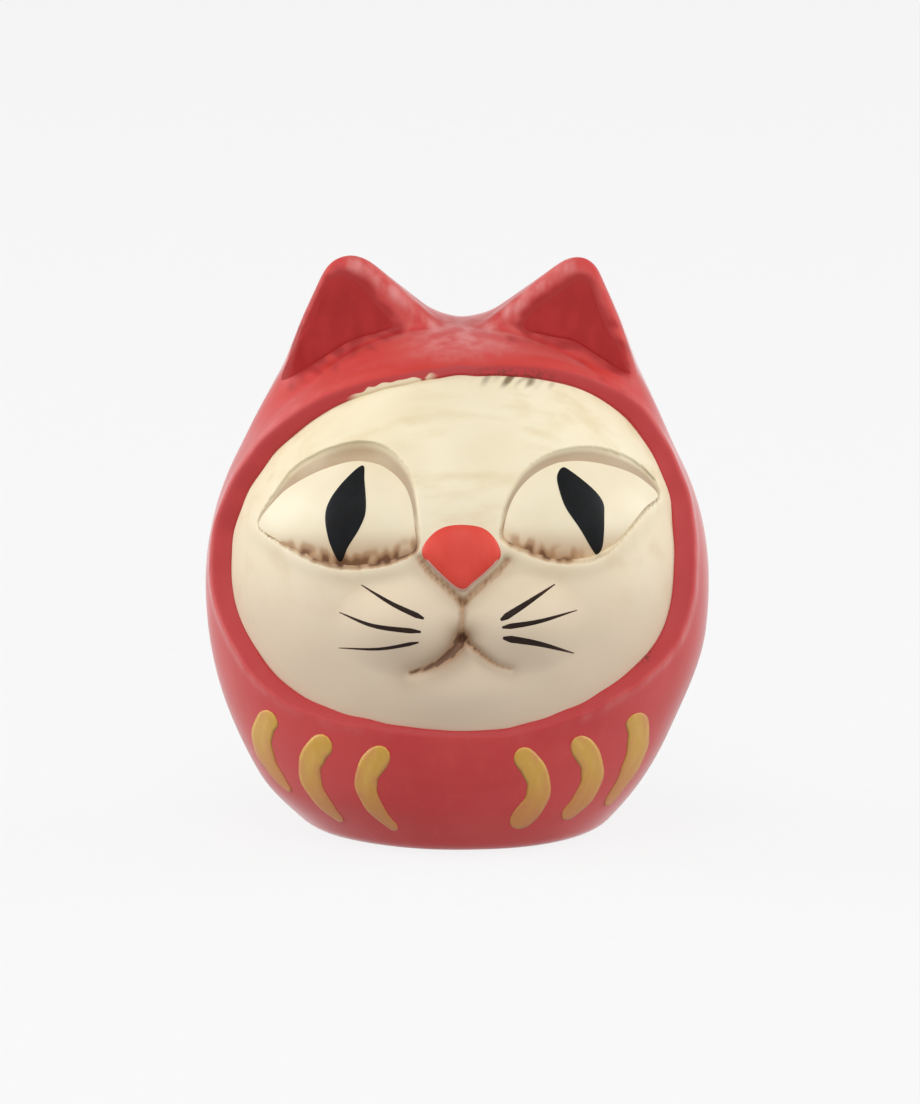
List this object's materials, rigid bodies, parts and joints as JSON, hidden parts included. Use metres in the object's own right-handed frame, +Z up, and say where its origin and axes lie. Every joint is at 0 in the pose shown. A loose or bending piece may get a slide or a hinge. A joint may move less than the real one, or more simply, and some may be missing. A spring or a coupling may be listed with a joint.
{
  "type": "cat daruma doll",
  "caption": "Weighted paper cat daruma: hooded egg body with ears, set-in cream face, raised nose, eyes and whiskers, gold stripes and a flat base.",
  "frame": {"origin": "centre of the outline on the resting plane, at the underside of the base disc", "axes": "+Z up through the crown, the face looks towards -Y, +X to the viewer's right"},
  "size_m": [0.0694, 0.064, 0.0799],
  "materials": {
    "red_paper": "satin",
    "dark_red": "matte",
    "cream_gofun": "matte",
    "eye_white": "satin",
    "black_lacquer": "satin",
    "brown_ink": "satin",
    "nose_red": "satin",
    "gold_paint": "satin",
    "bare_paper": "matte",
    "clay": "matte"
  },
  "bodies": {
    "root": {"shell_front": "red_paper", "shell_back": "red_paper", "seam_strip": "bare_paper", "base_weight": "clay", "base_cover": "bare_paper", "face_panel": "cream_gofun", "eye_left": "eye_white", "eye_right": "eye_white", "pupil_left": "black_lacquer", "pupil_right": "black_lacquer", "nose": "nose_red", "ear_front_left": "dark_red", "ear_front_right": "dark_red", "whisker_left_1": "brown_ink", "whisker_left_2": "brown_ink", "whisker_left_3": "brown_ink", "whisker_right_1": "brown_ink", "whisker_right_2": "brown_ink", "whisker_right_3": "brown_ink", "gold_stripe_left_1": "gold_paint", "gold_stripe_left_2": "gold_paint", "gold_stripe_left_3": "gold_paint", "gold_stripe_right_1": "gold_paint", "gold_stripe_right_2": "gold_paint", "gold_stripe_right_3": "gold_paint"}
  },
  "joints": []
}
